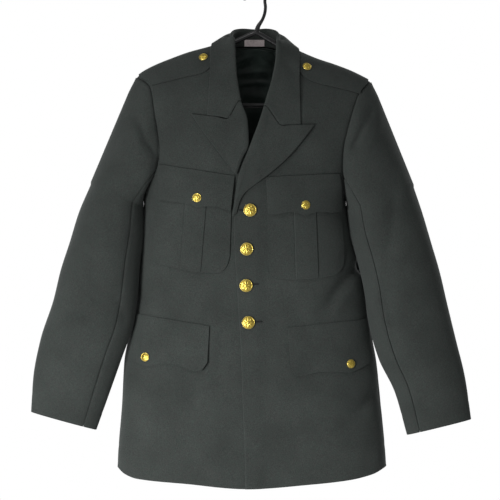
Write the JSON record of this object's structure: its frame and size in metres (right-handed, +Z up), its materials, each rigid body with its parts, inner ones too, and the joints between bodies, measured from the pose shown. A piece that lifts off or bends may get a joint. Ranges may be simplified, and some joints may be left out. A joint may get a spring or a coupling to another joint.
{
  "type": "military dress coat on a hanger",
  "caption": "Single-breasted dress coat with peaked lapels, flapped chest and hip pockets, shoulder loops and domed buttons, hanging on a plain hanger.",
  "frame": {"origin": "inside top of the hanger's hook, where it rests on a rod or wall hook", "axes": "+Z up, +Y to the coat's back along the rod, +X to the viewer's right, the wearer's left, seen from the front"},
  "size_m": [0.7876, 0.193, 0.9036],
  "materials": {
    "coat_wool": "fine wool serge, dark grey-green, soft nap",
    "button_gilt": "bright gilt",
    "lining_satin": "dark green satin, soft sheen",
    "label_cloth": "plain woven tape, blank",
    "hanger_black": "black, smooth"
  },
  "bodies": {
    "root": {"front_left": "coat_wool", "front_right": "coat_wool", "back_left": "coat_wool", "back_right": "coat_wool", "sleeve_left_top": "coat_wool", "sleeve_left_under": "coat_wool", "sleeve_right_top": "coat_wool", "sleeve_right_under": "coat_wool", "collar": "coat_wool", "lapel_left": "coat_wool", "lapel_right": "coat_wool", "shoulder_loop_left": "coat_wool", "shoulder_loop_right": "coat_wool", "breast_pocket_left": "coat_wool", "breast_pocket_right": "coat_wool", "breast_flap_left": "coat_wool", "breast_flap_right": "coat_wool", "lower_flap_left": "coat_wool", "lower_flap_right": "coat_wool", "front_button_1": "button_gilt", "front_button_2": "button_gilt", "front_button_3": "button_gilt", "front_button_4": "button_gilt", "shoulder_button_left": "button_gilt", "shoulder_button_right": "button_gilt", "breast_button_left": "button_gilt", "breast_button_right": "button_gilt", "lower_button_left": "button_gilt", "lower_button_right": "button_gilt", "lining_back": "lining_satin", "neck_label": "label_cloth", "hanger": "hanger_black"}
  },
  "joints": []
}
